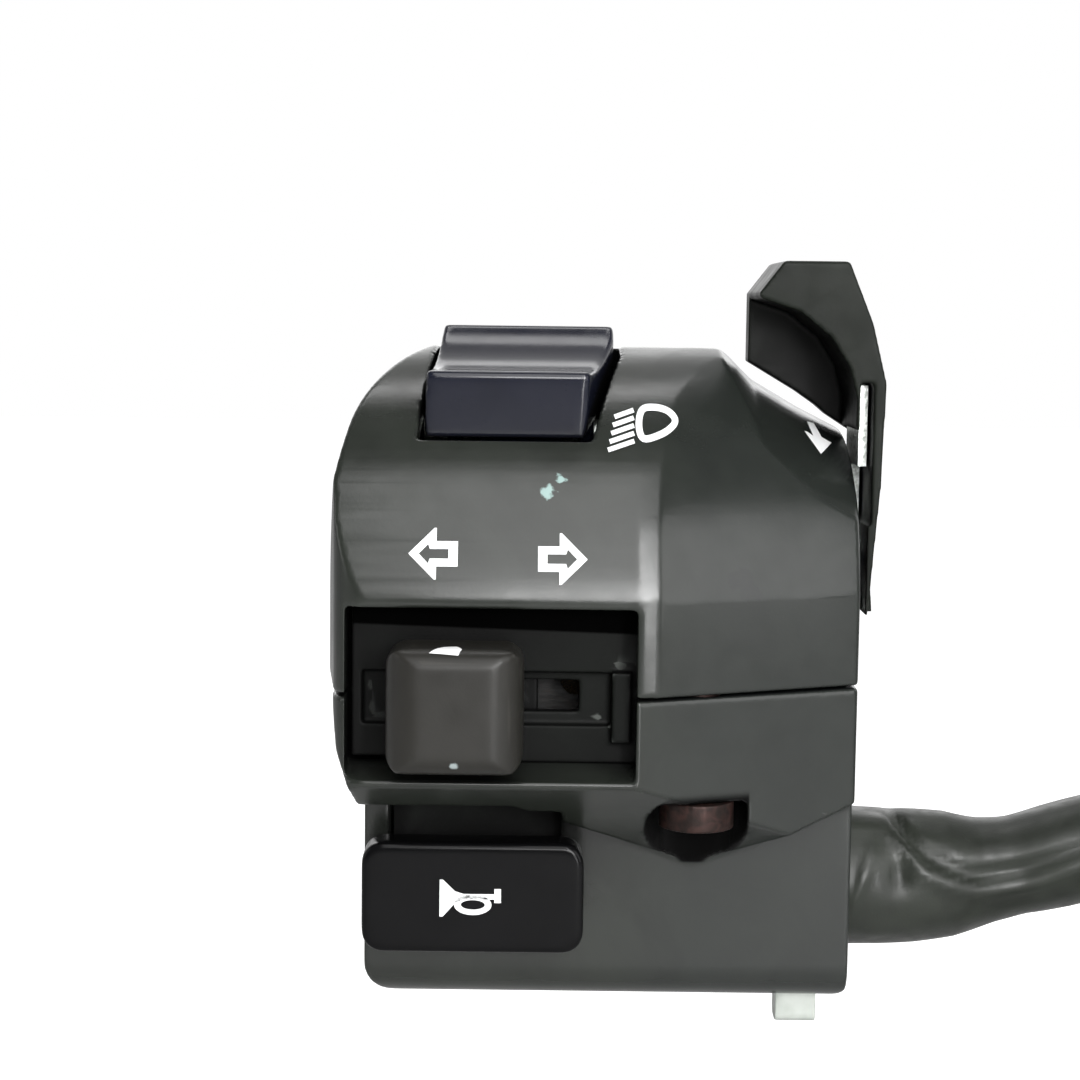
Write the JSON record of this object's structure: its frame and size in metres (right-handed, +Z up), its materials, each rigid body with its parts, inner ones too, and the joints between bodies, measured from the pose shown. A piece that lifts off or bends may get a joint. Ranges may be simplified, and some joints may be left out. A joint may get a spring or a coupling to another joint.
{
  "type": "motorbike handlebar switch cluster",
  "caption": "Left handlebar switch cluster: moulded clamp halves with a sliding turn switch, dimmer rocker, horn push button, choke thumb lever and a looped harness with its plug.",
  "frame": {"origin": "on the handlebar's axis, in the parting plane of the two casing halves", "axes": "+X along the handlebar towards the middle of the bike, -Y towards the rider, +Z up"},
  "size_m": [0.1964, 0.0577, 0.1663],
  "materials": {
    "casing": "worn dark grey moulded plastic",
    "screw": "coppery tarnished plating",
    "knob": "satin warm grey plastic",
    "black": "black moulded plastic",
    "steel": "bright steel",
    "board": "brown contact board",
    "brass": "brass",
    "rocker": "glossy blue-black plastic",
    "horn": "glossy black plastic",
    "lever": "satin dark grey plastic",
    "rubber": "black rubber",
    "nylon": "natural nylon",
    "wire": "coloured wire insulation",
    "sleeve": "soft grey vinyl sleeve",
    "tie": "black nylon tie"
  },
  "bodies": {
    "casing": {"upper_casing": "casing", "lower_casing": "casing", "clamp_screws": "screw", "turn_guide_plate": "black", "turn_guide_screws": "steel", "turn_base": "board", "turn_fixed_contacts": "brass", "dimmer_pivot_pin": "steel", "dimmer_base": "black", "dimmer_base_screws": "steel", "dimmer_fixed_contacts": "brass", "dimmer_detent_spring": "steel", "horn_base": "black", "horn_base_screw": "steel", "horn_contact_board": "board", "horn_fixed_contacts": "brass", "horn_spring": "steel", "harness_grommet": "rubber", "harness_clip": "nylon", "inner_wires": "wire", "harness_sleeve": "sleeve", "harness_coil": "sleeve", "coil_tie": "tie", "connector_housing": "nylon", "connector_terminals": "brass"},
    "turn_slider": {"turn_slider": "black", "turn_moving_contact": "brass", "turn_detent_ball": "steel", "turn_detent_spring": "steel", "turn_cancel_spring": "steel"},
    "turn_knob": {"turn_knob": "knob"},
    "dimmer_rocker": {"dimmer_rocker": "rocker", "dimmer_contact": "brass"},
    "horn_button": {"horn_button": "horn", "horn_moving_contact": "brass"},
    "choke_lever": {"choke_lever": "lever", "choke_friction_spring": "steel"}
  },
  "joints": [
    {"name": "turn_slide", "type": "slide", "parent": "casing", "child": "turn_slider", "axis": [1, 0, 0], "range_m": [0, 0.0074]},
    {"name": "turn_cancel", "type": "slide", "parent": "turn_slider", "child": "turn_knob", "axis": [0, 1, 0], "range_m": [0, 0.002], "stiffness_N_per_m": 500, "springref_m": -0.001, "deforming": ["turn_cancel_spring"]},
    {"name": "dimmer_rock", "type": "hinge", "parent": "casing", "child": "dimmer_rocker", "pos_m": [-0.007, -0.01116, 0.02348], "axis": [1, 0, 0], "range_deg": [0, 18]},
    {"name": "horn_press", "type": "slide", "parent": "casing", "child": "horn_button", "axis": [0, 1, 0], "range_m": [0, 0.003], "stiffness_N_per_m": 600, "springref_m": -0.001, "deforming": ["horn_spring"]},
    {"name": "choke_turn", "type": "hinge", "parent": "casing", "child": "choke_lever", "pos_m": [0, 0, 0], "axis": [1, 0, 0], "range_deg": [0, 45]}
  ]
}
